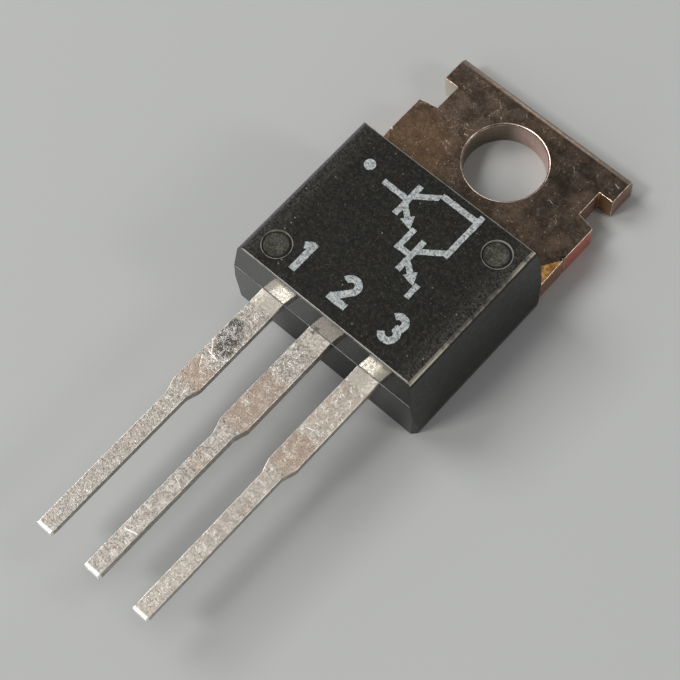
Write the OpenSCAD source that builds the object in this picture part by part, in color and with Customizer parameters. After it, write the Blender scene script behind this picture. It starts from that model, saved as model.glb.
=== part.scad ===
// Darlington transistor in a three-lead moulded package with a drilled mounting tab.
// It lies on its back. +Z is up from the mounting face, +Y runs from the leads to the tab's head,
// and X runs across the leads. The origin is the centre of the mounting hole, on the mounting face.

/* [Tab] */
// Width of the tab at its shoulders
tab_w = 9.4; // [8.8:0.1:10.4]
// Width of the tab's head
head_w = 9.1; // [8.6:0.1:10.4]
// Thickness of the tab
tab_t = 1.35; // [1.1:0.05:1.6]
// Diameter of the mounting hole
hole_d = 3.6; // [3:0.1:3.9]
// Depth of the bevel round the hole's upper rim
hole_rim = 0.06; // [0.04:0.02:0.2]
// Distance from the hole's centre to the free end of the tab
hole_to_end = 2.85; // [2.5:0.05:3.2]
// Length of the head beyond the notches
head_len = 1.4; // [0.8:0.05:1.6]
// Length of each side notch
notch_len = 1.3; // [0.9:0.05:1.6]
// Depth of each side notch, from the head's side
notch_d = 0.7; // [0.4:0.02:0.9]
// How far the shoulder's end edge falls away towards its corner
shoulder_fall = 0.18; // [0:0.02:0.3]
// Radius of the rolled upper edge at the free end
end_round = 0.4; // [0.1:0.02:0.5]
// Length of the coined corner of each shoulder, beside the case
coin_len = 1.45; // [0.5:0.05:1.8]
// Width of the coined corners at the case
coin_w = 0.9; // [0.2:0.05:1.1]
// Drop of the coined corners at their lowest point
coin_drop = 0.12; // [0.06:0.02:0.4]

/* [Case] */
// Width of the case at its parting line
case_w = 9.32; // [8.8:0.02:10.4]
// Width of the case at its widest, just above the foot
case_foot_w = 9.8; // [9:0.1:10.8]
// Length of the case at its parting line
case_l = 7.93; // [7.4:0.01:9.2]
// Height of the case
case_h = 4.5; // [4.2:0.1:4.9]
// Distance from the hole's centre to the case
hole_to_case = 3.42; // [3.1:0.02:3.8]
// How far the long sides lean in from the parting line to the top
side_draft = 0.13; // [0.1:0.01:0.4]
// How far the lead end and the tab end lean in from the parting line to the top
end_draft = 0.25; // [0.1:0.01:0.4]
// Radius of the long sides' upper edges
side_edge_r = 0.3; // [0.05:0.01:0.35]
// Radius of the upper edges at the lead end and the tab end
end_edge_r = 0.09; // [0.05:0.01:0.25]
// How far the mould's flash stands out along the parting line
flash = 0.03; // [0.01:0.01:0.06]
// Height of the widest line of the case above its foot
foot_h = 0.5; // [0.3:0.05:1.2]
// How far the case draws in at its foot
foot_draft = 0.05; // [0.02:0.01:0.15]
// How far the flats on the upright corners cut in at the foot
corner_flat = 0.2; // [0.1:0.05:0.5]
// Height at which the flats on the upright corners run out
corner_flat_h = 1.8; // [1:0.1:2.9]
// Diameter of the two ejector-pin marks
pin_mark_d = 1.24; // [0.8:0.02:1.6]
// Depth of the ejector-pin marks
pin_mark_depth = 0.08; // [0.04:0.01:0.15]
// Distance of an ejector-pin mark's centre from the middle of the case, across it
pin_mark_x = 3.41; // [3:0.01:3.5]
// Distance of an ejector-pin mark's centre from the middle of the case, along it
pin_mark_y = 2.66; // [2:0.01:2.8]

/* [Leads] */
// Distance between neighbouring leads
lead_pitch = 2.54; // [2.4:0.01:2.7]
// Thickness of the leads
lead_t = 0.5; // [0.4:0.02:0.6]
// Height of the leads' lower face above the mounting face
lead_z = 2.5; // [2.3:0.05:2.7]
// Width of the leads where they leave the case
root_w = 1.14; // [0.9:0.02:1.4]
// Width of the leads at their tips
tip_w = 0.74; // [0.5:0.02:0.86]
// Length of the leads outside the case
lead_len = 12.83; // [6:0.01:16]
// Length of the wide stretch outside the case, along its longer side
root_len = 5.15; // [2:0.05:5.5]
// Length of the taper from wide to narrow
taper_len = 0.6; // [0.3:0.05:0.9]
// How much sooner the taper starts on the other side
taper_skew = 0.32; // [0:0.02:0.5]

/* [Inside the case] */
// Width of the tab inside the case
inner_tab_w = 8.1; // [7:0.1:8.4]
// Cover of moulding compound in front of the tab, at the lead end
front_cover = 1.65; // [1.3:0.05:2]
// Width of the strip that rises from the tab to the centre lead
riser_w = 1.5; // [1.2:0.05:1.7]
// Width of the bonding pad on each outer lead
post_w = 2.2; // [1.8:0.05:2.4]
// Length of the bonding pad on each outer lead
post_l = 1.5; // [1.2:0.05:1.7]
// Cover of moulding compound in front of the bonding pads
post_cover = 0.6; // [0.4:0.05:0.8]
// Side of the square chip
die_side = 3.4; // [2.8:0.1:3.8]
// Thickness of the chip
die_t = 0.26; // [0.2:0.01:0.32]
// Thickness of the solder under the chip
solder_t = 0.06; // [0.04:0.01:0.1]
// How far the solder spreads past the chip
solder_spread = 0.12; // [0.05:0.01:0.2]
// Thickness of the bond pads on the chip
pad_t = 0.03; // [0.02:0.01:0.05]
// Diameter of the base bond wire
base_wire_d = 0.2; // [0.12:0.01:0.25]
// Diameter of the emitter bond wire
emitter_wire_d = 0.38; // [0.25:0.01:0.42]
// Rise of the bond wires above the straight line between their ends
wire_rise = 0.55; // [0.4:0.05:0.65]

/* [Hidden] */
$fn = 96;

// A cut runs this far past the faces that it opens
past = 0.2;

// Heights
lead_top = lead_z + lead_t;
parting_z = lead_top;
solder_top = tab_t + solder_t;
die_top = solder_top + die_t;
pad_top = die_top + pad_t;

// Places along the part
case_back = -hole_to_case;
case_front = case_back - case_l;
case_mid = (case_back + case_front) / 2;
lead_tip = case_front - lead_len;
inner_tab_front = case_front + front_cover;
shoulder_gap = 0.08;
shoulder_front = case_back + shoulder_gap;
notch_x = head_w / 2 - notch_d;
notch_front = hole_to_end - head_len - notch_len;
head_front = hole_to_end - head_len;
post_front = case_front + post_cover;
post_back = post_front + post_l;
die_y = (inner_tab_front + case_back) / 2;

// Nick left in the tab's side where its neighbour in the strip was sheared off
nick_w = 0.1;
nick_d = 0.06;

// The moisture groove across the tab under the case
groove_w = 0.4;
groove_d = 0.12;
groove_y = case_back - 0.5;

// Bond pads on the chip, as shares of its side
base_pad = [0.2 * die_side, 0.22 * die_side];
emitter_pad = [0.44 * die_side, 0.3 * die_side];
base_pad_at = [-0.3 * die_side, die_y - 0.32 * die_side];
emitter_pad_at = [0.16 * die_side, die_y - 0.3 * die_side];

function mirrored(points) = [for (i = [len(points) - 1 : -1 : 0]) [-points[i][0], points[i][1]]];

// The inside of a convex corner, rounded: points of an arc of radius r about centre, from angle a to b
function arc(centre, r, a, b, steps = 5) =
    [for (i = [0 : steps]) centre + r * [cos(a + (b - a) * i / steps), sin(a + (b - a) * i / steps)]];

// The upper end of a case side, which leans in by draft from half at the parting line and is rounded
// with radius r
function upper_edge(half, draft, r) =
    let (
        lean = atan2(draft, case_h - parting_z),
        round_x = half - draft - r * (1 - sin(lean)) / cos(lean)
    )
    arc([round_x, case_h - r], r, lean, 90);

module case_section_across() {
    half = case_w / 2;
    wide = case_foot_w / 2;
    side = concat(
        [[wide - foot_draft, 0], [wide, foot_h], [half, parting_z]],
        upper_edge(half, side_draft, side_edge_r)
    );
    polygon(concat(side, mirrored(side)));
}

module case_section_along() {
    half = case_l / 2;
    side = concat(
        [
            [half - foot_draft, 0],
            [half, parting_z - flash],
            [half + flash, parting_z - flash / 2],
            [half + flash, parting_z + flash / 2],
            [half, parting_z + flash]
        ],
        upper_edge(half, end_draft, end_edge_r)
    );
    polygon(concat(side, mirrored(side)));
}

// What is cut away to leave the flats on the case's upright corners, which widen towards the foot
module corner_cut() {
    far = case_w;
    wide_at_top = (case_foot_w - case_w) * (corner_flat_h - foot_h) / (parting_z - foot_h);
    draft_at_top = foot_draft * (1 - corner_flat_h / parting_z);
    low = (case_foot_w + case_l) / 2 - 2 * foot_draft - corner_flat;
    high = (case_foot_w - wide_at_top + case_l) / 2 - draft_at_top;
    translate([0, case_mid, 0])
        for (turn = [45, 135, 225, 315])
            rotate([0, 0, turn])
                translate([low / sqrt(2), -far / 2, 0])
                    rotate([0, atan2((high - low) / sqrt(2), corner_flat_h), 0])
                        translate([0, 0, -past])
                            cube([far, far, case_h + 2 * past]);
}

module case_body() {
    difference() {
        intersection() {
            translate([0, case_mid + case_l / 2 + past, 0])
                rotate([90, 0, 0])
                    linear_extrude(case_l + 2 * past)
                        case_section_across();
            translate([-case_foot_w / 2 - past, case_mid, 0])
                rotate([90, 0, 90])
                    linear_extrude(case_foot_w + 2 * past)
                        case_section_along();
        }
        corner_cut();
    }
}

module pin_marks() {
    for (side = [-1, 1])
        translate([side * pin_mark_x, case_mid + side * pin_mark_y, case_h - pin_mark_depth])
            cylinder(d = pin_mark_d, h = pin_mark_depth + past);
}

// Outline of one lead outside the case, seen from above, with its middle on X = 0
module lead_outline(inner_end) {
    polygon([
        [-root_w / 2, inner_end],
        [-root_w / 2, case_front - root_len],
        [-tip_w / 2, case_front - root_len - taper_len],
        [-tip_w / 2, lead_tip],
        [tip_w / 2, lead_tip],
        [tip_w / 2, case_front - root_len + taper_skew - taper_len],
        [root_w / 2, case_front - root_len + taper_skew],
        [root_w / 2, inner_end]
    ]);
}

// An outer lead with its bonding pad. side is -1 on the left and 1 on the right.
module outer_lead(side) {
    post_corner = 0.25;
    translate([side * lead_pitch, 0, lead_z])
        linear_extrude(lead_t) {
            lead_outline(post_front + post_corner);
            polygon([
                [-post_w / 2, post_front],
                [post_w / 2, post_front],
                [post_w / 2, post_back - post_corner],
                [post_w / 2 - post_corner, post_back],
                [-post_w / 2 + post_corner, post_back],
                [-post_w / 2, post_back - post_corner]
            ]);
        }
}

module tab_outline() {
    side = [
        [inner_tab_w / 2, inner_tab_front],
        [inner_tab_w / 2, shoulder_front],
        [tab_w / 2, shoulder_front],
        [tab_w / 2, notch_front - shoulder_fall],
        [notch_x, notch_front],
        [notch_x, head_front],
        [head_w / 2, head_front],
        [head_w / 2, hole_to_end]
    ];
    polygon(concat(side, mirrored(side)));
}

// What is cut away to leave the rolled upper edge at the tab's free end
module end_roll_cut() {
    translate([-tab_w / 2 - past, hole_to_end - end_round, tab_t - end_round])
        difference() {
            cube([tab_w + 2 * past, end_round + past, end_round + past]);
            rotate([0, 90, 0])
                cylinder(r = end_round, h = tab_w + 2 * past);
        }
}

// The hole, with a bevel round its upper rim
module mounting_hole() {
    translate([0, 0, -past]) cylinder(d = hole_d, h = tab_t + 2 * past);
    translate([0, 0, tab_t - hole_rim])
        cylinder(d1 = hole_d, d2 = hole_d + 2 * (hole_rim + past), h = hole_rim + past);
}

// What is cut away to leave the coined corner of the shoulder at +X
module coin_cut() {
    far = 2 * (coin_len + coin_w);
    turn = atan2(coin_w, coin_len);
    across = coin_len * sin(turn);
    translate([tab_w / 2, shoulder_front + coin_len, tab_t])
        rotate([0, 0, -turn])
            rotate([0, atan2(coin_drop, across), 0])
                translate([0, -far, 0])
                    cube([far, 2 * far, far]);
}

module shear_nick() {
    translate([tab_w / 2, shoulder_front + coin_len, -past])
        linear_extrude(tab_t + 2 * past)
            polygon([[-nick_d, 0], [nick_d, -nick_w], [nick_d, nick_w]]);
}

// The centre lead and the strip that rises to it from the tab, seen from the side
module riser_section() {
    rise_front = post_front + 0.3;
    rise_back = inner_tab_front + 0.3;
    polygon([
        [rise_back + lead_t, tab_t - lead_t],
        [rise_back + lead_t, tab_t],
        [rise_back, tab_t],
        [rise_front, lead_top],
        [case_front - past, lead_top],
        [case_front - past, lead_z],
        [rise_front - 0.25, lead_z],
        [inner_tab_front, tab_t - lead_t]
    ]);
}

module header_collector() {
    color([0.50, 0.38, 0.31]) {
        difference() {
            linear_extrude(tab_t) tab_outline();
            mounting_hole();
            end_roll_cut();
            for (flip = [0, 1])
                mirror([flip, 0, 0]) {
                    coin_cut();
                    shear_nick();
                }
            translate([-inner_tab_w / 2 - past, groove_y, tab_t - groove_d])
                cube([inner_tab_w + 2 * past, groove_w, groove_d + past]);
        }
        intersection() {
            translate([-riser_w / 2, 0, 0])
                rotate([90, 0, 90])
                    linear_extrude(riser_w) riser_section();
            linear_extrude(case_h) {
                lead_outline(case_front + post_cover);
                translate([-riser_w / 2, post_front])
                    square([riser_w, case_l]);
            }
        }
        translate([0, 0, lead_z])
            linear_extrude(lead_t)
                lead_outline(case_front);
    }
}

module base_lead() {
    color([0.74, 0.70, 0.66]) outer_lead(-1);
}

module emitter_lead() {
    color([0.74, 0.70, 0.66]) outer_lead(1);
}

module die_solder() {
    side = die_side + 2 * solder_spread;
    color([0.55, 0.56, 0.58])
        translate([-side / 2, die_y - side / 2, tab_t])
            cube([side, side, solder_t]);
}

module bond_pad(at, size) {
    translate([at[0] - size[0] / 2, at[1] - size[1] / 2, die_top - pad_t])
        cube([size[0], size[1], 2 * pad_t]);
}

module die() {
    color([0.30, 0.32, 0.38]) {
        translate([-die_side / 2, die_y - die_side / 2, solder_top])
            cube([die_side, die_side, die_t]);
        bond_pad(base_pad_at, base_pad);
        bond_pad(emitter_pad_at, emitter_pad);
    }
}

// A bond wire of diameter d from the chip to an outer lead's pad. It has a flattened foot at each end,
// and between them it follows an arc in the upright plane through both.
module bond_wire(from, to, d) {
    foot_l = 2 * d;
    foot_h = 0.7 * d;
    arc_h = 0.55 * d;
    run = norm(to - from);
    heading = atan2(to[1] - from[1], to[0] - from[0]);
    drop = lead_top - pad_top;
    chord = sqrt(run * run + drop * drop);
    r = (chord * chord / 4 + wire_rise * wire_rise) / (2 * wire_rise);
    slope = atan2(drop, run);
    half = asin(chord / 2 / r);
    middle = [run / 2, arc_h + drop / 2] - (r - wire_rise) * [-sin(slope), cos(slope)];
    translate([from[0], from[1], pad_top])
        rotate([0, 0, heading]) {
            translate([-foot_l / 2, -d / 2, 0]) cube([foot_l, d, foot_h]);
            translate([run - foot_l / 2, -d / 2, drop]) cube([foot_l, d, foot_h]);
            translate([middle[0], 0, middle[1]])
                rotate([90, 0, 0])
                    rotate([0, 0, 90 + slope - half])
                        rotate_extrude(angle = 2 * half)
                            translate([r, 0]) circle(d = d);
        }
}

module base_wire() {
    post = [-lead_pitch, post_back - post_l / 3];
    color([0.80, 0.81, 0.82]) bond_wire(base_pad_at, post, base_wire_d);
}

module emitter_wire() {
    post = [lead_pitch, post_back - post_l / 3];
    color([0.80, 0.81, 0.82]) bond_wire(emitter_pad_at, post, emitter_wire_d);
}

module case() {
    color([0.13, 0.13, 0.125])
        difference() {
            case_body();
            pin_marks();
            header_collector();
            base_lead();
            emitter_lead();
            die_solder();
            die();
            base_wire();
            emitter_wire();
        }
}

header_collector();
base_lead();
emitter_lead();
case();
die_solder();
die();
base_wire();
emitter_wire();
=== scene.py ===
"""A darlington transistor lying on its back on a pale floor.

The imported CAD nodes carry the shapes. This script gives them their surfaces: tarnished copper on
the tab, dull tin on the leads, moulded epoxy on the case, and a plain white print on its top face.
Lengths are in millimetres, except for the lamps' and the floor's, which are in metres.
"""
import math
from collections import namedtuple
from functools import reduce
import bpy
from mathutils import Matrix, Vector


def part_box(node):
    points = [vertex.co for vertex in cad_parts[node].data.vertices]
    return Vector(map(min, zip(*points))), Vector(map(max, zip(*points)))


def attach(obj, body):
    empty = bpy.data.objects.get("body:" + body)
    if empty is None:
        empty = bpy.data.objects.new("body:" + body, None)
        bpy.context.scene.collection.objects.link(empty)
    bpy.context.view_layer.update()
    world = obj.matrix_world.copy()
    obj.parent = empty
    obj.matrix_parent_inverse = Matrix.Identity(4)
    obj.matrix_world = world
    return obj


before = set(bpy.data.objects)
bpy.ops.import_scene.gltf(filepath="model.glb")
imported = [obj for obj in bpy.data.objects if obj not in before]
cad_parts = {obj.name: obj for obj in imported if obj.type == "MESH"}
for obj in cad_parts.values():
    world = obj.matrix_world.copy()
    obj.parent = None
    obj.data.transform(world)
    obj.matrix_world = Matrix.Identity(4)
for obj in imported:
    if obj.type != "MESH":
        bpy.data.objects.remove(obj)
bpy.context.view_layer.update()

from types import SimpleNamespace

import bmesh
import bpy
from mathutils import Matrix, Vector, noise

MM = 0.001
BODY = "root"

# Places read from the frame
CASE_LOW, CASE_HIGH = (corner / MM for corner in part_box("case"))
LEAD_LOW, LEAD_HIGH = (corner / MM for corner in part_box("base_lead"))
CASE_TOP = CASE_HIGH.z
CASE_FRONT = CASE_LOW.y
CASE_MID = (CASE_FRONT + CASE_HIGH.y) / 2
LEAD_TIP = LEAD_LOW.y
LEAD_TOP = LEAD_HIGH.z
PARTING_Z = LEAD_TOP

# Sizes that no box of the frame gives, as the part's source has them
TAB_TOP = 1.35
NOTCH_FRONT = 0.15
HOLE_R = 1.8
PIN_X, PIN_Y, PIN_R = 3.41, 2.66, 0.65
LEAD_PITCH = 2.54

# The camera stands where the photograph was taken from
AIM = Vector((0.576, -10.866, 2.5))
CAMERA_TURN = 46.882
CAMERA_RISE = 66.398
CAMERA_ROLL = -5.303
CAMERA_REACH = 78.576
LENS = 105.24

# Lamps: the direction each stands in, its distance, width and height in metres, power, colour
LAMPS = {
    "key_lamp": ((-0.80, -0.16, 0.95), 0.50, 0.24, 0.24, 1.4, (1.0, 0.99, 0.97)),
    "front_lamp": ((-0.29, -0.56, 0.77), 0.55, 0.12, 0.12, 1.2, (1.0, 0.98, 0.95)),
    "right_lamp": ((0.76, 0.27, 0.55), 0.50, 0.12, 0.12, 0.45, (1.0, 0.98, 0.92)),
    "low_lamp": ((-0.10, -0.92, 0.38), 0.50, 0.80, 0.38, 1.0, (1.0, 0.99, 0.97)),
    "back_lamp": ((-0.29, 0.88, 0.36), 0.50, 0.22, 0.22, 0.35, (1.0, 0.98, 0.96)),
}
# The light from all around
SKY_COLOUR = (0.96, 0.98, 1.0, 1)
SKY_LEVEL = 0.20
# The floor, with its side in metres
FLOOR_SIDE = 4
FLOOR_COLOUR = (0.40, 0.41, 0.41, 1)


# ---------------------------------------------------------------- stage


def link(thing):
    bpy.context.scene.collection.objects.link(thing)


def place_camera():
    turn, rise, roll = (math.radians(a) for a in (CAMERA_TURN, CAMERA_RISE, CAMERA_ROLL))
    back = Vector((math.sin(turn) * math.cos(rise), -math.cos(turn) * math.cos(rise),
                   math.sin(rise)))
    right = Vector((0, 0, 1)).cross(back).normalized()
    up = back.cross(right)
    rolled_right = math.cos(roll) * right + math.sin(roll) * up
    rolled_up = math.cos(roll) * up - math.sin(roll) * right
    data = bpy.data.cameras.new("camera")
    data.lens = LENS
    data.clip_start = 0.001
    data.clip_end = 10
    camera = bpy.data.objects.new("camera", data)
    place = Matrix((rolled_right, rolled_up, back)).transposed().to_4x4()
    place.translation = (AIM + back * CAMERA_REACH) * MM
    camera.matrix_world = place
    link(camera)
    bpy.context.scene.camera = camera


def add_lamp(name, towards, reach, width, height, power, colour):
    """A soft lamp that stands at reach in the direction towards, and looks at the part."""
    data = bpy.data.lights.new(name, "AREA")
    data.shape = "RECTANGLE"
    data.size = width
    data.size_y = height
    data.energy = power
    data.color = colour
    lamp = bpy.data.objects.new(name, data)
    way = Vector(towards).normalized()
    lamp.location = AIM * MM + way * reach
    lamp.rotation_euler = way.to_track_quat("Z", "Y").to_euler()
    link(lamp)


def light_the_part():
    world = bpy.data.worlds.new("world")
    bpy.context.scene.world = world
    world.use_nodes = True
    sky = world.node_tree.nodes["Background"]
    sky.inputs["Color"].default_value = SKY_COLOUR
    sky.inputs["Strength"].default_value = SKY_LEVEL
    for name, settings in LAMPS.items():
        add_lamp(name, *settings)


def pale_floor():
    bpy.ops.mesh.primitive_plane_add(size=FLOOR_SIDE)
    floor = bpy.context.object
    floor.name = "floor"
    shade = Shade("floor")
    shade.set(Base_Color=FLOOR_COLOUR, Roughness=0.85)
    floor.data.materials.append(shade.material)


# ---------------------------------------------------------------- shading

Finish = namedtuple("Finish", "colour roughness relief metal")


class Shade:
    """A material while it is built. Each call adds a node or a few and gives back their output.

    x, y and z are the place of a point on the part, and nx, ny and nz its face's normal."""

    def __init__(self, name):
        self.material = bpy.data.materials.new(name)
        self.material.use_nodes = True
        self.tree = self.material.node_tree
        self.tree.nodes.clear()
        self.surface = self.tree.nodes.new("ShaderNodeBsdfPrincipled")
        output = self.tree.nodes.new("ShaderNodeOutputMaterial")
        self.tree.links.new(self.surface.outputs[0], output.inputs["Surface"])
        place = self.node("TexCoord").outputs["Object"]
        self.mm = self.node("VectorMath", {0: place, "Scale": 1 / MM}, operation="SCALE").outputs[0]
        normal = self.node("NewGeometry").outputs["True Normal"]
        self.x, self.y, self.z = self.split(self.mm)
        self.nx, self.ny, self.nz = self.split(normal)

    # Nodes and sockets

    def node(self, kind, values=None, **settings):
        made = self.tree.nodes.new("ShaderNode" + kind)
        for name, value in settings.items():
            setattr(made, name, value)
        for socket, value in (values or {}).items():
            self.put(made.inputs[socket], value)
        return made

    def put(self, socket, value):
        if isinstance(value, bpy.types.NodeSocket):
            self.tree.links.new(value, socket)
        else:
            socket.default_value = value

    def set(self, **values):
        """Fills sockets of the surface shader. Their names have underscores for spaces."""
        for name, value in values.items():
            self.put(self.surface.inputs[name.replace("_", " ")], value)

    def wear(self, finish, depth):
        """Gives the surface a metal's finish, with its relief depth millimetres deep."""
        self.set(Base_Color=finish.colour, Roughness=finish.roughness, Metallic=finish.metal,
                 Normal=self.bump(finish.relief, depth))
        return self.material

    def split(self, vector):
        return self.node("SeparateXYZ", {0: vector}).outputs[:]

    # Numbers

    def math(self, operation, a, b=0.0, c=0.0):
        return self.node("Math", {0: a, 1: b, 2: c}, operation=operation).outputs[0]

    def join(self, operation, values):
        """The values taken together by one operation, from left to right."""
        return reduce(lambda a, b: self.math(operation, a, b), values)

    def add(self, *values):
        return self.join("ADD", values)

    def times(self, *values):
        return self.join("MULTIPLY", values)

    def most(self, *values):
        return self.join("MAXIMUM", values)

    def flip(self, a):
        return self.math("SUBTRACT", 1.0, a)

    def size(self, a):
        return self.math("ABSOLUTE", a)

    def off(self, a, middle):
        """How far a is from middle, to either side."""
        return self.size(self.math("SUBTRACT", a, middle))

    def ramp(self, value, low, high, to_low=0.0, to_high=1.0):
        """A smooth step of value between low and high, given the range to_low to to_high."""
        values = {"Value": value, "From Min": low, "From Max": high,
                  "To Min": to_low, "To Max": to_high}
        return self.node("MapRange", values, interpolation_type="SMOOTHSTEP").outputs[0]

    def blend(self, share, a, b):
        made = self.node("Mix", data_type="FLOAT")
        for socket, value in zip((made.inputs[0], made.inputs[2], made.inputs[3]), (share, a, b)):
            self.put(socket, value)
        return made.outputs[0]

    # Colours

    def mix(self, share, a, b):
        made = self.node("Mix", data_type="RGBA")
        for socket, value in zip((made.inputs[0], made.inputs[6], made.inputs[7]), (share, a, b)):
            self.put(socket, (*value, 1) if isinstance(value, tuple) else value)
        return made.outputs[2]

    def paint(self, colour, *coats):
        """Coats over a first colour. Each coat is its share and its colour."""
        return reduce(lambda under, coat: self.mix(coat[0], under, coat[1]), coats, colour)

    # Patterns

    def stretch(self, scale):
        return self.node("VectorMath", {0: self.mm, 1: scale}, operation="MULTIPLY").outputs[0]

    def noise(self, scale, detail=3.0, rough=0.5, vector=None, bend=0.0):
        values = {"Vector": vector or self.mm, "Scale": scale, "Detail": detail,
                  "Roughness": rough, "Distortion": bend}
        return self.node("TexNoise", values).outputs["Fac"]

    def curls(self, scale, bend, *steps):
        """Curling scratches, where a bent noise passes its middle. steps are as ramp takes them."""
        return self.ramp(self.off(self.noise(scale, 2, 0.5, bend=bend), 0.5), *steps)

    def specks(self, scale, radius, share):
        """Round specks: one cell in so many carries one. radius is in cells."""
        cells = self.node("TexVoronoi", {"Vector": self.mm, "Scale": scale})
        chosen = self.split(cells.outputs["Color"])[0]
        near = self.ramp(cells.outputs["Distance"], radius, radius * 0.5)
        return self.times(near, self.ramp(chosen, 1 - share, 1 - share * 0.8))

    # Places on the part

    def measure(self, operation, vector):
        made = self.node("VectorMath", {0: self.mm, 1: vector}, operation=operation)
        return made.outputs["Value"]

    def away(self, centre):
        """Distance from a point of the part."""
        return self.measure("DISTANCE", centre)

    def along(self, way):
        """Distance from the origin, taken in the direction way."""
        return self.measure("DOT_PRODUCT", way)

    def spot(self, centre, radius, soft=0.5):
        """A round patch about a point of the part. soft is the share of its radius that fades."""
        return self.ramp(self.away(centre), radius, radius * (1 - soft))

    def line(self, start, end, width):
        """A straight mark with soft sides, seen from above, between two points of the part."""
        (ax, ay), (bx, by) = start, end
        length = math.hypot(bx - ax, by - ay)
        ux, uy = (bx - ax) / length, (by - ay) / length
        off = self.off(self.along((-uy, ux, 0)), ay * ux - ax * uy)
        middle = self.off(self.along((ux, uy, 0)), (ax + bx) / 2 * ux + (ay + by) / 2 * uy)
        inside = self.ramp(middle, length / 2, length / 2 - width)
        return self.times(self.ramp(off, width / 2, width / 5), inside)

    def on_lead(self):
        """1 on the leads outside the case and 0 on the tab."""
        return self.ramp(self.y, CASE_FRONT + 1.0, CASE_FRONT + 0.6)

    def bump(self, height, depth, normal=None):
        """A relief of height 0 to 1 that is depth millimetres deep."""
        values = {"Height": height, "Distance": depth * MM, "Strength": 1.0}
        if normal:
            values["Normal"] = normal
        return self.node("Bump", values).outputs[0]


# ---------------------------------------------------------------- case

# The moulding compound. Of two colours, the first is the darker one, here and below
COMPOUND = (0.0060, 0.0065, 0.0060), (0.0115, 0.0108, 0.0090)
COMPOUND_GREY = (0.023, 0.0220, 0.0186)
TOP_MOTTLE = (0.0045, 0.0046, 0.0042), (0.034, 0.0325, 0.0280)
TOP_GRAIN = (0.032, 0.0305, 0.0262)
# Painted reflection: the front lighter towards the left, where it mirrors the brighter floor
FRONT_PAINTED_REFLECTION = (0.042, 0.043, 0.041)
PITS = (0.004, 0.004, 0.004)
# Dust on it, and the painted highlights along its upper edges
EDGE_DUST = (0.085, 0.080, 0.070)
LARGE_SPECKS = (0.26, 0.255, 0.22)
SMALL_SPECKS = (0.16, 0.155, 0.135)
FINE_SPECKS = (0.105, 0.100, 0.086)
RIGHT_EDGE_HIGHLIGHT = (0.44, 0.41, 0.32)
LEFT_EDGE_HIGHLIGHT = (0.12, 0.112, 0.122)
END_EDGE_HIGHLIGHTS = (0.17, 0.165, 0.135)
# The ejector marks: painted shade in a ring inside each, its dusty floor, and a painted highlight
# on its rim
MARK_RING_SHADE = (0.006, 0.006, 0.006)
MARK_DUST = (0.098, 0.096, 0.076)
MARK_RIM_HIGHLIGHT = (0.30, 0.295, 0.255)

# The upper edges' crest, with the painted highlight on the right one, is weaker about this line
CREST_GAP_Y = -6.7
# Between which X the front's painted reflection of the floor fades in, above and below the parting
# line
REFLECTION_ABOVE = 1.8, -3.8
REFLECTION_BELOW = -1.0, -3.4


def ejector_marks(s, radius, soft, shift=0.0):
    """A round patch in each of the two marks, soft millimetres wide at its edge."""
    patches = []
    for side in (-1, 1):
        centre = (side * PIN_X - shift, CASE_MID + side * PIN_Y, CASE_TOP)
        patches.append(s.ramp(s.away(centre), radius, radius - soft))
    return s.add(*patches)


def case_zones(s):
    """The case's faces, edges and marks, each as a share from 0 to 1, and its two main noises."""
    top = s.ramp(s.nz, 0.93, 0.99)
    seam = s.ramp(s.off(s.z, PARTING_Z), 0.10, 0.05)
    middle = s.ramp(s.off(s.y, CREST_GAP_Y), 1.2, 2.4, 0.40, 1.0)
    marks = ejector_marks(s, PIN_R, 0.05)
    return SimpleNamespace(
        top=top,
        front=s.ramp(s.ny, -0.80, -0.93),
        lower=s.ramp(s.z, PARTING_Z, PARTING_Z - 0.15),
        edge=s.times(s.ramp(s.nz, 0.22, 0.40), s.flip(top), s.flip(seam)),
        crest=s.times(s.ramp(s.nz, 0.58, 0.74), s.ramp(s.nz, 0.95, 0.84), middle),
        long_side=s.ramp(s.size(s.nx), 0.12, 0.20),
        right=s.ramp(s.nx, 0.10, 0.20),
        left=s.ramp(s.nx, -0.05, -0.20),
        marks=marks,
        rim=s.times(marks, s.flip(marks), 4),
        well=ejector_marks(s, PIN_R - 0.10, 0.06, 0.05),
        patch=s.noise(2.6, 5, 0.6),
        grain=s.noise(15, 4, 0.7),
    )


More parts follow.
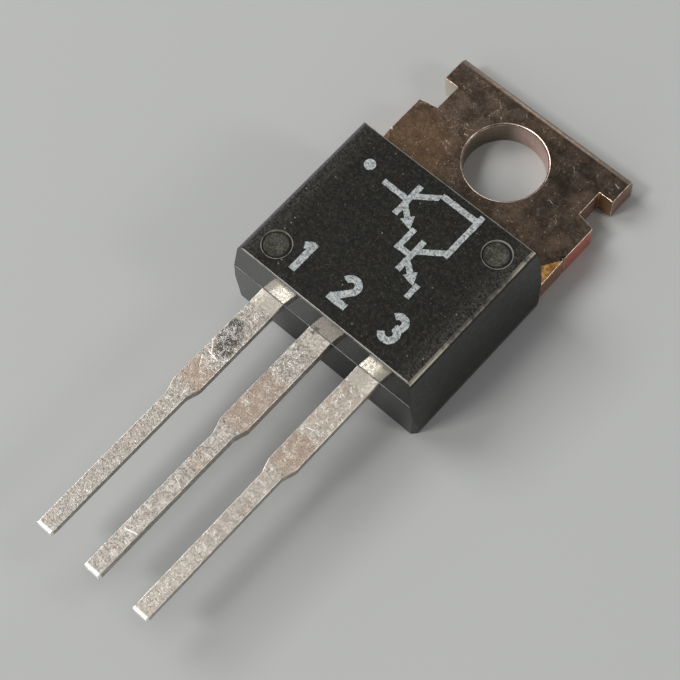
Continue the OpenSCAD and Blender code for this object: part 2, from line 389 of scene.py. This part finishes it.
def case_colour(s, zone):
    patch, grain, top = zone.patch, zone.grain, zone.top
    mottle = s.noise(6, 3, 0.55)
    # Painted reflection of the floor, lighter towards the left of the front
    reflected = s.blend(zone.lower, s.ramp(s.x, *REFLECTION_ABOVE), s.ramp(s.x, *REFLECTION_BELOW))
    dusty = s.ramp(s.noise(0.9, 2), 0.35, 0.65, 0.3, 1.0)
    edge_dust = s.times(s.ramp(s.size(s.x), 3.3, 4.4), s.ramp(grain, 0.42, 0.62), top)
    cloudy = s.times(s.ramp(grain, 0.40, 0.66, 0.25, 1.0), s.ramp(patch, 0.30, 0.62, 0.25, 1.0))
    # Painted highlight: cream along the right upper edge
    painted_highlight = s.times(zone.crest, zone.right, s.ramp(patch, 0.34, 0.58, 0.12, 1.0))
    return s.paint(
        s.mix(s.noise(0.55, 4), *COMPOUND),
        (s.ramp(patch, 0.42, 0.75, 0, 0.55), COMPOUND_GREY),
        (s.times(top, s.ramp(mottle, 0.50, 0.68, 0, 0.55)), TOP_MOTTLE[1]),
        (s.times(top, s.ramp(mottle, 0.48, 0.34, 0, 0.6)), TOP_MOTTLE[0]),
        (s.times(top, s.ramp(grain, 0.48, 0.68, 0, 0.4)), TOP_GRAIN),
        (s.times(zone.front, reflected), FRONT_PAINTED_REFLECTION),
        (s.times(edge_dust, 0.55), EDGE_DUST),
        (s.times(s.specks(3.6, 0.14, 0.26), dusty, 0.8), LARGE_SPECKS),
        (s.times(s.specks(7, 0.20, 0.24), dusty, 0.65), SMALL_SPECKS),
        (s.times(s.specks(12, 0.30, 0.36), 0.5), FINE_SPECKS),
        (s.times(s.specks(8.5, 0.2, 0.14), 0.6), PITS),
        # Painted shade inside each ejector mark's wall, its dusty floor, and a painted highlight on
        # its rim
        (s.times(zone.marks, s.flip(zone.well), 0.6), MARK_RING_SHADE),
        (s.times(zone.well, cloudy), MARK_DUST),
        (s.times(zone.rim, s.ramp(patch, 0.30, 0.60, 0.35, 1.0)), MARK_RIM_HIGHLIGHT),
        # Painted highlights along the upper edges: the right one, the left one, and the front and
        # back ones
        (s.times(zone.edge, zone.long_side, painted_highlight), RIGHT_EDGE_HIGHLIGHT),
        (s.times(zone.edge, zone.left, s.ramp(grain, 0.36, 0.64, 0.2, 0.9)), LEFT_EDGE_HIGHLIGHT),
        (s.times(zone.edge, s.flip(zone.long_side), s.ramp(patch, 0.30, 0.62, 0.3, 0.9)),
         END_EDGE_HIGHLIGHTS),
    )


def case_roughness(s, zone):
    sides = s.blend(zone.front, s.ramp(zone.patch, 0.3, 0.7, 0.30, 0.42),
                    s.ramp(zone.patch, 0.3, 0.7, 0.08, 0.14))
    faces = s.blend(zone.top, sides, s.ramp(zone.grain, 0.3, 0.7, 0.40, 0.56))
    return s.blend(zone.edge, faces, 0.30)


def case_gloss(s, zone):
    """The front mirrors the leads: less at the right, and much less below the parting line."""
    below = s.most(s.ramp(s.x, -3.5, -1.8, 0.33, 0.10), s.ramp(s.x, 2.4, 3.4, 0.10, 0.28))
    front = s.blend(zone.lower, s.ramp(s.x, 1.6, 3.7, 1.0, 0.45), below)
    edge = s.blend(zone.long_side, 0.6, s.ramp(s.times(zone.right, zone.crest), 0, 1, 0.35, 0.7))
    return s.blend(zone.edge, s.blend(zone.top, s.blend(zone.front, 0.38, front), 0.16), edge)


def epoxy():
    """Black moulding compound with a dusty matt top and smoother sides."""
    s = Shade("case_epoxy")
    zone = case_zones(s)
    grainy = s.bump(s.times(zone.grain, s.ramp(zone.top, 0, 1, 0.02, 1.0)), 0.0045)
    s.set(Base_Color=case_colour(s, zone), Roughness=case_roughness(s, zone),
          Specular_IOR_Level=case_gloss(s, zone), Normal=s.bump(s.noise(0.8, 2), 0.008, grainy))
    return s.material


# ---------------------------------------------------------------- leads

# Tin plate
TIN = (0.255, 0.230, 0.208), (0.53, 0.480, 0.425)
TIN_COARSE = (0.74, 0.69, 0.63)
TIN_CLOUD = (0.36, 0.32, 0.285)
TIN_CRISP = (0.16, 0.143, 0.128), (0.86, 0.82, 0.76)
TIN_CALM = (0.49, 0.435, 0.38), (0.66, 0.56, 0.46)
TIN_EDGES = (0.62, 0.56, 0.49), (0.94, 0.91, 0.86)
TIN_GLINT = (0.98, 0.95, 0.90)
# What wear and dirt made of it
PINK = (0.29, 0.215, 0.170), (0.54, 0.43, 0.350)
SOOT = (0.11, 0.097, 0.085)
DARK_PATCH = (0.075, 0.068, 0.062)
ROOT_STRIP = (0.62, 0.56, 0.45), (0.99, 0.95, 0.87)
SCAR = (0.045, 0.042, 0.034)
WORN_TIN = (0.16, 0.155, 0.15)
# The cut ends, painted near white: a painted reflection
CUT_END_PAINTED_REFLECTION = (0.96, 0.95, 0.92)

# The dark worn patch on the base lead, as round spots: X, Y and radius
DARK_SPOTS = [(-2.78, -13.3, 0.42), (-2.62, -13.8, 0.62), (-2.45, -14.35, 0.52)]
# Pink bands across the leads: X, the band's two ends along Y, strength
PINK_BANDS = [
    (-2.54, -15.1, -16.5, 1.0), (0.0, -13.7, -16.6, 1.0), (2.54, -14.7, -16.7, 1.0),
    (-2.54, -12.4, -13.1, 0.65), (0.0, -17.6, -19.0, 0.7), (-2.54, -18.6, -20.0, 0.7),
    (2.54, -18.0, -19.2, 0.7),
]
# Straight scratches: start, end and width
SCRATCHES = [
    ((-0.30, -22.20), (0.36, -22.01), 0.10), ((-3.10, -14.25), (-2.70, -14.75), 0.06),
    ((-2.90, -14.75), (-2.25, -14.85), 0.06), ((-2.95, -15.0), (-2.65, -15.5), 0.05),
    ((0.30, -19.6), (-0.30, -19.35), 0.04), ((2.15, -14.62), (2.55, -14.50), 0.04),
    ((-0.35, -13.15), (-0.12, -13.32), 0.04),
]
# Families of curling scratches: scale, bend, width, and where on the coarse noise they fade in
CURLS = [
    (1.6, 1.6, 0.020, 0.44, 0.56), (3.6, 2.2, 0.040, 0.47, 0.57), (6.0, 1.8, 0.050, 0.50, 0.60),
]
# The scar on the centre lead beside the case
SCAR_LINE = (-0.48, -11.40), (-0.08, -11.52), 0.26
# Between which Y a lead passes from its narrow stretch to its wide one
WIDE_FROM = -17.0, -16.2
# Between which X the emitter lead's own finish fades in
EMITTER_FROM = 0.9, 1.7


def pink_bands(s):
    """Ragged bands where the copper shows through the tin."""
    bands = []
    for x, high, low, strength in PINK_BANDS:
        half = (high - low) / 2
        near = s.ramp(s.off(s.x, x), 1.2, 0.9, 0, strength)
        bands.append(s.times(near, s.ramp(s.off(s.y, (high + low) / 2), half + 0.35, half - 0.35)))
    return s.ramp(s.add(s.most(*bands), s.times(s.noise(1.9, 5, 0.68), 1.6)), 1.35, 1.85)


def lead_scratches(s, zone):
    """Curling scratches, weaker on pink and on the narrow stretch, and the straight ones."""
    curls = []
    for scale, bend, width, low, high in CURLS:
        thin = s.curls(scale, bend, width, width * 0.3)
        curls.append(s.times(thin, s.ramp(zone.coarse, low, high)))
    faint = s.times(s.blend(zone.pink, 0.80, 0.22), s.ramp(zone.wide, 0, 1, 0.55, 1.0))
    glints = s.times(zone.dark, s.curls(3.0, 1.8, 0.028, 0.008, 0, 0.55))
    straight = (s.line(*scratch) for scratch in SCRATCHES)
    scratches = s.most(s.times(s.most(*curls), faint), glints, *straight)
    return s.times(scratches, zone.upper, s.flip(zone.near_case))


def lead_zones(s):
    """The leads' faces, stretches and marks, each as a share from 0 to 1, and their noises."""
    coarse = s.noise(3.4, 4, 0.65)
    near_case = s.ramp(s.y, CASE_FRONT - 0.80, CASE_FRONT - 0.58)
    outer = s.ramp(s.size(s.x), 0.9, 1.4)
    # Sideways from a lead's own middle, mirrored for the emitter lead
    sideways = s.times(s.math("WRAP", s.x, LEAD_PITCH / 2, -LEAD_PITCH / 2),
                       s.ramp(s.x, 1.0, 1.5, 1.0, -1.0))
    inner_side = s.ramp(s.math("SUBTRACT", sideways, s.times(coarse, 0.5)), -0.75, -0.25)
    zone = SimpleNamespace(
        upper=s.ramp(s.nz, 0.5, 0.9),
        tip=s.most(s.ramp(s.ny, -0.6, -0.9), s.ramp(s.y, LEAD_TIP + 0.17, LEAD_TIP + 0.09)),
        wide=s.ramp(s.y, *WIDE_FROM),
        pink=pink_bands(s),
        dark=s.most(*(s.spot((x, y, LEAD_TOP), radius) for x, y, radius in DARK_SPOTS)),
        near_case=near_case,
        outer=outer,
        root=s.times(near_case, outer, inner_side),
        cloud=s.noise(0.9, 4, 0.6),
        coarse=coarse,
        grain=s.noise(9.0, 3, 0.7),
        fine=s.noise(24, 2, 0.6),
    )
    zone.scratch = lead_scratches(s, zone)
    return zone


def lead_colour(s, zone):
    grain, wide = zone.grain, zone.wide
    crisp = s.noise(17, 3, 0.7)
    pink = s.mix(s.ramp(crisp, 0.36, 0.62), *PINK)
    strip = s.mix(s.ramp(grain, 0.35, 0.65), *ROOT_STRIP)
    worn = s.times(s.ramp(s.y, LEAD_TIP + 9.5, LEAD_TIP + 3.0), s.ramp(s.x, 2.8, -2.8, 0.03, 0.22))
    scar = s.times(s.line(*SCAR_LINE), s.ramp(zone.fine, 0.38, 0.52, 0.5, 0.9))
    return s.paint(
        s.mix(s.ramp(grain, 0.38, 0.60), *TIN),
        (s.ramp(zone.coarse, 0.52, 0.68, 0, 0.4), TIN_COARSE),
        (s.ramp(zone.cloud, 0.48, 0.30, 0, 0.35), TIN_CLOUD),
        (s.ramp(crisp, 0.56, 0.70, 0, 0.6), TIN_CRISP[1]),
        (s.ramp(crisp, 0.44, 0.30, 0, 0.6), TIN_CRISP[0]),
        (s.ramp(s.x, *EMITTER_FROM, 0, 0.40), s.mix(wide, *TIN_CALM)),
        (s.times(zone.pink, 0.85), pink),
        (s.times(s.specks(6, 0.28, 0.28), 0.7), SOOT),
        (s.times(zone.dark, s.ramp(grain, 0.68, 0.54, 0.15, 0.97)), DARK_PATCH),
        (s.times(s.specks(8.5, 0.26, 0.22), 0.9), TIN_GLINT),
        (s.times(zone.scratch, 0.75), TIN_GLINT),
        (s.times(zone.near_case, s.ramp(zone.outer, 0, 1, 0.36, 0.85)), strip),
        (scar, SCAR),
        (worn, WORN_TIN),
        # Painted reflection on the cut ends
        (s.times(zone.tip, s.ramp(grain, 0.3, 0.5, 0.75, 1.0)), CUT_END_PAINTED_REFLECTION),
    )


def lead_roughness(s, zone):
    dull = s.ramp(s.add(zone.grain, s.times(zone.cloud, 0.6)), 0.5, 1.1, 0.38, 0.56)
    roughness = s.blend(zone.upper, 0.30, s.blend(zone.pink, dull, 0.42))
    roughness = s.blend(zone.root, roughness, s.ramp(zone.grain, 0.35, 0.65, 0.32, 0.22))
    return s.blend(zone.tip, roughness, 0.5)


def lead_relief(s, zone):
    relief = s.add(s.times(zone.grain, 0.55), s.times(zone.coarse, 0.35), s.times(zone.fine, 0.25))
    relief = s.times(relief, s.blend(zone.dark, s.blend(zone.pink, 1.0, 0.35), 1.9))
    relief = s.times(relief, s.blend(zone.root, s.ramp(s.x, *EMITTER_FROM, 1.0, 0.6), 0.35))
    return s.add(relief, s.times(zone.scratch, -0.4))


def tin(s):
    """Dull tin plate over copper. The cut ends are least metallic, and painted near white as a
    painted reflection.
    """
    zone = lead_zones(s)
    metal = s.blend(zone.tip, s.blend(zone.root, 0.9, 0.6), 0.25)
    return Finish(lead_colour(s, zone), lead_roughness(s, zone), lead_relief(s, zone), metal)


def lead_tin():
    s = Shade("lead_tin")
    return s.wear(tin(s), 0.020)


# ---------------------------------------------------------------- tab

# Tarnished copper
COPPER = (0.090, 0.066, 0.051), (0.164, 0.120, 0.090)
# A golden tone, partly painted sheen towards the left
GOLDEN_AND_SHEEN = (0.235, 0.145, 0.078)
COPPER_RED = (0.30, 0.175, 0.105)
COPPER_GREEN = (0.095, 0.090, 0.056)
COPPER_GRAIN = (0.33, 0.255, 0.195)
COPPER_FINE = (0.05, 0.038, 0.032)
COPPER_GLINT = (0.60, 0.50, 0.41)
COPPER_PITS = (0.035, 0.028, 0.024)
COPPER_SCRATCH = (0.70, 0.58, 0.47)
# Painted shade, cloudy, right of the middle and along the case
PAINTED_SHADE = (0.020, 0.016, 0.013)
COPPER_EDGES = (0.34, 0.22, 0.16), (0.86, 0.70, 0.60)
# Its sides, the hole's wall and the worked corners
SIDES = (0.24, 0.150, 0.100), (0.46, 0.30, 0.215)
SHEARED = (0.55, 0.14, 0.105), (0.92, 0.37, 0.29)
# The hole's wall, painted shaded and painted lit
HOLE_SHADED = (0.17, 0.140, 0.095), (0.30, 0.250, 0.190)
HOLE_LIT = (0.58, 0.38, 0.33), (0.90, 0.70, 0.63)
# The notch walls: painted light makes the left one pale cream, and the right one is orange-brown
NOTCH_LEFT_LIT = (0.86, 0.82, 0.70)
NOTCH_RIGHT = (0.46, 0.27, 0.13)
COINED = (0.55, 0.24, 0.06), (0.95, 0.56, 0.20)
# Painted shade in the gaps of the coined corner
GAP_SHADE = (0.02, 0.014, 0.011)
# Painted reflection on the rolled free end
ROLLED_END_REFLECTION = (0.42, 0.33, 0.265)

# The golden zone at the left, partly the copper's warm tint and partly painted sheen, and the
# straight scratches: start, end and width
GOLDEN_SHEEN_SPOT = (-3.5, -1.9, TAB_TOP), 2.7, 0.8
TAB_SCRATCHES = [((4.05, 2.20), (4.35, 2.10), 0.06), ((2.45, -0.15), (2.75, -0.22), 0.03)]
# Painted shade in the gaps of the right coined corner, as round spots: centre, radius and soft
# share
GAP_SHADE_SPOTS = [((4.66, -1.86, TAB_TOP), 0.20, 0.6), ((4.15, -3.0, TAB_TOP), 0.18, 0.6)]


def tab_zones(s):
    """The tab's faces and worked places, each as a share from 0 to 1, and its noises."""
    side = s.ramp(s.size(s.nz), 0.75, 0.35)
    flank = s.ramp(s.size(s.nx), 0.6, 0.9)
    outside = s.ramp(s.away((0, 0, TAB_TOP / 2)), HOLE_R + 0.35, HOLE_R + 0.7)
    notch_wall = s.times(s.ramp(s.ny, -0.7, -0.9),
                         s.ramp(s.y, NOTCH_FRONT + 0.6, NOTCH_FRONT + 0.9))
    # The shear left fresh metal on the shoulders' flanks, most on the right one
    fresh = s.times(s.ramp(s.y, NOTCH_FRONT + 0.1, NOTCH_FRONT - 0.1),
                    s.ramp(s.y, -2.3, -1.6, 0.2, 0.95), s.ramp(s.x, -1, 1, 0.35, 1.0))
    # Painted shade darkens the tab right of its middle and along the case
    shade = s.times(s.ramp(s.x, -2.4, 0.6), s.ramp(s.x, 4.2, 2.6, 0.40, 1.0),
                    s.ramp(s.y, -1.8, 0.8, 0.35, 1.0))
    coined = s.times(s.ramp(s.nz, 0.998, 0.993), s.ramp(s.y, -1.7, -2.0))
    return SimpleNamespace(
        side=side,
        bore=s.times(side, s.flip(outside)),
        notch=s.times(side, notch_wall, outside),
        sheared=s.times(side, flank, fresh),
        shade=s.most(shade, s.ramp(s.y, -1.7, -2.5)),
        coined=s.times(coined, s.flip(side), s.ramp(s.x, 0, 1)),
        rolled=s.times(s.ramp(s.ny, 0.10, 0.30), s.ramp(s.nz, 0.30, 0.45)),
        cloud=s.noise(0.5, 3, 0.5),
        patch=s.noise(1.9, 5, 0.62, bend=0.3),
        tint=s.noise(4.5, 3, 0.6),
        grain=s.noise(8.0, 4, 0.7),
        fine=s.noise(22, 2, 0.6),
    )


def tab_scratches(s, patch):
    """Thin curls on the lighter patches, and the straight scratches."""
    curl = s.off(s.noise(0.9, 3, 0.5, s.stretch((1.0, 0.6, 1.0)), bend=1.2), 0.5)
    curls = s.times(s.ramp(curl, 0.0035, 0.001), s.ramp(patch, 0.45, 0.6))
    return s.most(curls, *(s.line(*scratch) for scratch in TAB_SCRATCHES))


def tab_colour(s, zone, scratch):
    cloud, tint, grain = zone.cloud, zone.tint, zone.grain
    golden_sheen = s.add(s.spot(*GOLDEN_SHEEN_SPOT), s.ramp(cloud, 0.45, 0.70, 0, 0.3))
    # The hole's wall is painted lit, pink, on the side of the tab's free end, which faces the
    # lamps, and painted shaded, brown, elsewhere
    lit_side = s.ramp(s.add(s.times(s.x, 0.5), s.y), 0.85, 1.6)
    bore = s.mix(lit_side, s.mix(grain, *HOLE_SHADED), s.mix(grain, *HOLE_LIT))
    return s.paint(
        s.mix(s.ramp(zone.patch, 0.36, 0.64), *COPPER),
        # Golden tone with painted sheen towards the left
        (s.times(golden_sheen, 0.85), GOLDEN_AND_SHEEN),
        (s.ramp(tint, 0.52, 0.70, 0, 0.45), COPPER_RED),
        (s.ramp(tint, 0.46, 0.30, 0, 0.45), COPPER_GREEN),
        (s.ramp(grain, 0.52, 0.72, 0, 0.5), COPPER_GRAIN),
        (s.ramp(zone.fine, 0.60, 0.40, 0, 0.45), COPPER_FINE),
        (s.times(s.specks(6, 0.22, 0.16), 0.7), COPPER_GLINT),
        (s.times(s.specks(5, 0.25, 0.15), 0.6), COPPER_PITS),
        (s.times(scratch, 0.6), COPPER_SCRATCH),
        # Painted shade, in cloudy patches
        (s.times(zone.shade, s.ramp(cloud, 0.35, 0.65, 0.52, 0.28)), PAINTED_SHADE),
        (zone.side, s.mix(grain, *SIDES)),
        (zone.sheared, s.mix(grain, *SHEARED)),
        (zone.bore, bore),
        # Painted light on the left notch wall
        (s.times(zone.notch, 0.85), s.mix(s.ramp(s.x, -1, 1), NOTCH_LEFT_LIT, NOTCH_RIGHT)),
        (zone.coined, s.mix(s.ramp(grain, 0.4, 0.6), *COINED)),
        # Painted shade in the coined corner's gaps
        (s.most(*(s.spot(*gap) for gap in GAP_SHADE_SPOTS)), GAP_SHADE),
        # Painted reflection on the rolled end
        (s.times(zone.rolled, s.ramp(tint, 0.35, 0.6, 0.40, 0.65)), ROLLED_END_REFLECTION),
    )


def copper(s):
    """Tarnished copper. The sheared sides show fresher metal."""
    zone = tab_zones(s)
    scratch = tab_scratches(s, zone.patch)
    roughness = s.ramp(s.add(zone.patch, s.times(zone.grain, 0.5)), 0.5, 1.0, 0.34, 0.50)
    relief = s.add(s.times(zone.grain, 0.55), s.times(zone.patch, 0.3), s.times(zone.fine, 0.15),
                   s.times(scratch, -0.25))
    return Finish(tab_colour(s, zone, scratch), roughness, relief, 0.9)


def tab_copper():
    """The tab's copper, and the tin on the centre lead that is one piece with it."""
    s = Shade("tab_copper")
    bare, plated, on_lead = copper(s), tin(s), s.on_lead()
    finish = Finish(s.mix(on_lead, bare.colour, plated.colour),
                    *(s.blend(on_lead, a, b) for a, b in zip(bare[1:], plated[1:])))
    return s.wear(finish, 0.016)


# ---------------------------------------------------------------- other finishes

INK = (0.27, 0.30, 0.305), (0.46, 0.49, 0.50)
WORN_INK = (0.075, 0.080, 0.080)
SOLDER = (0.42, 0.43, 0.45), (0.62, 0.63, 0.65)
SILICON = (0.10, 0.11, 0.14), (0.16, 0.17, 0.21)
ALUMINIUM = (0.70, 0.71, 0.72), (0.86, 0.87, 0.88)


def bright_edge(name, tones):
    """Metal worn clean along an edge: tones on the tab, and tin on every lead."""
    s = Shade(name)
    wear = s.noise(3.5, 4, 0.7)
    worn = s.ramp(wear, 0.36, 0.56)
    colour = s.mix(s.on_lead(), s.mix(worn, *tones), s.mix(worn, *TIN_EDGES))
    return s.wear(Finish(colour, 0.34, wear, 1.0), 0.01)


def white_ink():
    s = Shade("white_ink")
    wear = s.noise(13, 5, 0.75)
    colour = s.mix(s.ramp(s.noise(6, 4, 0.7), 0.35, 0.65), *INK)
    colour = s.mix(s.times(s.ramp(wear, 0.50, 0.43), 0.85), colour, WORN_INK)
    s.set(Base_Color=colour, Roughness=0.62, Normal=s.bump(wear, 0.006))
    return s.material


def hidden_metal(name, tones, metal, roughness):
    """A plain grained finish for what the case hides."""
    s = Shade(name)
    grain = s.noise(12, 4, 0.6)
    rough = s.ramp(grain, 0.3, 0.7, roughness, roughness + 0.15)
    return s.wear(Finish(s.mix(grain, *tones), rough, grain, metal), 0.003)


def dress(node, *materials):
    """The first material covers the node, and a second one its rounded edges."""
    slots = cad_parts[node].data.materials
    slots.clear()
    for material in materials:
        slots.append(material)


# ---------------------------------------------------------------- edges

# Widths of the worn edges
TAB_EDGE = 0.025
LEAD_EDGE = 0.03
# Lower outlines that the stamping die rounded: their height and the radius it left
TAB_ROLL = 0.0, 0.20
LEAD_ROLL = LEAD_LOW.z, 0.14
# Corners closer than this are one, and so are heights
TOUCH = 0.001
# Faces that meet at a smaller angle are merged, and edges at a larger one rounded, in degrees
FLAT_ANGLE = 0.5
SHARP_ANGLE = 24


def join_corners(part):
    """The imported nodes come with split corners, which a bevel can't round."""
    weld = part.modifiers.new("join_corners", "WELD")
    weld.merge_threshold = TOUCH * MM
    flat = part.modifiers.new("merge_flats", "DECIMATE")
    flat.decimate_type = "DISSOLVE"
    flat.angle_limit = math.radians(FLAT_ANGLE)


def add_bevel(part, name, width, segments, limit):
    bevel = part.modifiers.new(name, "BEVEL")
    bevel.width = width * MM
    bevel.segments = segments
    bevel.limit_method = limit
    bevel.harden_normals = True
    return bevel


def roll_under(part, height, radius):
    """Rounds the lower outline at this height, but not the hole's."""
    places = [part.matrix_world @ v.co / MM for v in part.data.vertices]
    chosen = [i for i, p in enumerate(places)
              if abs(p.z - height) < TOUCH and math.hypot(p.x, p.y) > HOLE_R + 0.1]
    group = part.vertex_groups.new(name="underside")
    group.add(chosen, 1.0, "REPLACE")
    add_bevel(part, "roll_under", radius, 5, "VGROUP").vertex_group = group.name


def round_edges(node, width, *rolls):
    """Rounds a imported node's edges, and gives the rounding the node's last material."""
    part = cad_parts[node]
    join_corners(part)
    for height, radius in rolls:
        roll_under(part, height, radius)
    bevel = add_bevel(part, "round_edges", width, 2, "ANGLE")
    bevel.angle_limit = math.radians(SHARP_ANGLE)
    bevel.use_clamp_overlap = False
    bevel.material = len(part.data.materials) - 1


# ---------------------------------------------------------------- print

# Each shape of a mark stands this much higher than the one before it, so that no two faces coincide
INK_HEIGHT = 0.012
INK_STEP = 0.001
INK_WIDTH = 0.25
NUMERAL_WIDTH = 0.21
NUMERAL_SIZE = 1.45
NUMERAL_Y = -9.75


def ink_piece(name, outlines):
    """Flat ink with a straight wall, from closed outlines on the case's top face."""
    mesh = bpy.data.meshes.new(name)
    built = bmesh.new()
    for layer, outline in enumerate(outlines):
        corners = [built.verts.new((x * MM, y * MM, CASE_TOP * MM)) for x, y in outline]
        lid = built.faces.new(corners)
        raised = bmesh.ops.extrude_face_region(built, geom=[lid])["geom"]
        lifted = [v for v in raised if isinstance(v, bmesh.types.BMVert)]
        bmesh.ops.translate(built, verts=lifted, vec=(0, 0, (INK_HEIGHT + INK_STEP * layer) * MM))
    bmesh.ops.recalc_face_normals(built, faces=built.faces)
    bmesh.ops.triangulate(built, faces=[f for f in built.faces if len(f.verts) > 4])
    built.to_mesh(mesh)
    built.free()
    piece = bpy.data.objects.new(name, mesh)
    link(piece)
    return piece


def ragged(x, y, amount=0.018, scale=5.0):
    """Moves a point of an ink edge a little, as the stamp left it."""
    here = Vector((x * scale, y * scale, 0))
    return x + amount * noise.noise(here), y + amount * noise.noise(here + Vector((31, 7, 0)))


def ink_outline(corners, step=0.05):
    """A closed outline with ragged sides from its corners."""
    line = []
    for (ax, ay), (bx, by) in zip(corners, corners[1:] + corners[:1]):
        parts = max(1, round(math.hypot(bx - ax, by - ay) / step))
        line += [(ax + (bx - ax) * i / parts, ay + (by - ay) * i / parts) for i in range(parts)]
    return [ragged(x, y) for x, y in line]


def arc(x, y, radius, start, end, count=18):
    """Points on an arc, angles in degrees."""
    turns = [math.radians(start + (end - start) * i / count) for i in range(count + 1)]
    return [(x + radius * math.cos(a), y + radius * math.sin(a)) for a in turns]


def stroke(points, width=INK_WIDTH):
    """The outline of a line of even width through points, with square ends."""
    left, right = [], []
    for i, (x, y) in enumerate(points):
        (ax, ay), (bx, by) = points[max(i - 1, 0)], points[min(i + 1, len(points) - 1)]
        length = math.hypot(bx - ax, by - ay)
        nx, ny = (ay - by) / length * width / 2, (bx - ax) / length * width / 2
        left.append((x + nx, y + ny))
        right.append((x - nx, y - ny))
    return left + right[::-1]


def slant(ax, ay, bx, by):
    """A sloping line with upright ends."""
    half = INK_WIDTH / 2 * math.hypot(bx - ax, by - ay) / abs(bx - ax)
    return [(ax, ay - half), (bx, by - half), (bx, by + half), (ax, ay + half)]


def arrow(ax, ay, bx, by, head=0.55, wing=0.30):
    """A sloping line with an upright end at a and an arrow's point at b."""
    length = math.hypot(bx - ax, by - ay)
    ux, uy = (bx - ax) / length, (by - ay) / length
    nx, ny = bx - head * ux, by - head * uy
    half = INK_WIDTH / 2 * length / abs(bx - ax)
    neck = INK_WIDTH / 2
    return [(ax, ay - half), (nx + uy * neck, ny - ux * neck), (nx + uy * wing, ny - ux * wing),
            (bx, by), (nx - uy * wing, ny + ux * wing), (nx - uy * neck, ny + ux * neck),
            (ax, ay + half)]


def pair_sign(x, y):
    """The circuit sign of a darlington pair about a middle point."""
    w = INK_WIDTH / 2
    # Upright lines: each transistor's bar, the link between the two, and the outer leads
    first_bar, link_x, second_bar, outer_x = -1.05, 0, 0.65, 1.70
    shapes = [
        stroke([(-2.35, 0.95), (first_bar - w, 0.95)]),
        stroke([(first_bar, 0.15), (first_bar, 1.75)]),
        slant(first_bar + w, 1.25, link_x - w, 1.85),
        arrow(first_bar + w, 0.65, link_x - w, 0.00),
        stroke([(link_x, -0.95), (link_x, 0.14)]),
        stroke([(link_x + w, -0.82), (second_bar - w, -0.82)]),
        stroke([(second_bar, -1.62), (second_bar, -0.02)]),
        slant(second_bar + w, -0.50, outer_x - w, 0.10),
        arrow(second_bar + w, -1.14, outer_x - w, -1.76),
        stroke([(outer_x, -2.30), (outer_x, -1.60)]),
        stroke([(outer_x, -0.02), (outer_x, 2.30)]),
        stroke([(link_x - w, 1.97), (outer_x - w, 1.97)]),
    ]
    return [ink_outline([(x + px, y + py) for px, py in shape]) for shape in shapes]


# The strokes of each digit, in a box of height 1 about its middle
DIGITS = {
    1: [[(-0.20, 0.27), (0.055, 0.44)], [(0.03, -0.5), (0.03, 0.5)]],
    2: [arc(0, 0.18, 0.215, 168, -25) + [(-0.235, -0.42)], [(-0.30, -0.395), (0.32, -0.395)]],
    3: [arc(-0.01, 0.20, 0.195, 155, -88), arc(-0.01, -0.175, 0.22, 88, -155)],
}


def numeral(digit, x, y=NUMERAL_Y, size=NUMERAL_SIZE):
    """A digit of generic sans form about a middle point."""
    shapes = [stroke(line, NUMERAL_WIDTH) for line in DIGITS[digit]]
    return [ink_outline([(x + px * size, y + py * size) for px, py in shape]) for shape in shapes]


def make_print(material):
    """Pin numbers at the leads, and above them the circuit sign of a darlington pair and a dot."""
    marks = {
        "ink_dot": [ink_outline(arc(-3.00, -5.00, 0.25, 0, 350, 35))],
        "ink_sign": pair_sign(0.25, -6.15),
        "ink_number_1": numeral(1, -2.28),
        "ink_number_2": numeral(2, 0.00),
        "ink_number_3": numeral(3, 2.45),
    }
    for name, outlines in marks.items():
        piece = ink_piece(name, outlines)
        piece.data.materials.append(material)
        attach(piece, BODY)


# ---------------------------------------------------------------- build

place_camera()
light_the_part()
pale_floor()

dress("case", epoxy())
dress("header_collector", tab_copper(), bright_edge("copper_edge", COPPER_EDGES))
PLATED, PLATED_EDGE = lead_tin(), bright_edge("tin_edge", TIN_EDGES)
dress("base_lead", PLATED, PLATED_EDGE)
dress("emitter_lead", PLATED, PLATED_EDGE)
dress("die_solder", hidden_metal("solder", SOLDER, 0.9, 0.35))
dress("die", hidden_metal("silicon", SILICON, 0.6, 0.12))
BOND_WIRE = hidden_metal("bond_aluminium", ALUMINIUM, 1.0, 0.2)
dress("base_wire", BOND_WIRE)
dress("emitter_wire", BOND_WIRE)

round_edges("header_collector", TAB_EDGE, TAB_ROLL, LEAD_ROLL)
round_edges("base_lead", LEAD_EDGE, LEAD_ROLL)
round_edges("emitter_lead", LEAD_EDGE, LEAD_ROLL)

make_print(white_ink())

bpy.context.scene.view_settings.view_transform = "Standard"
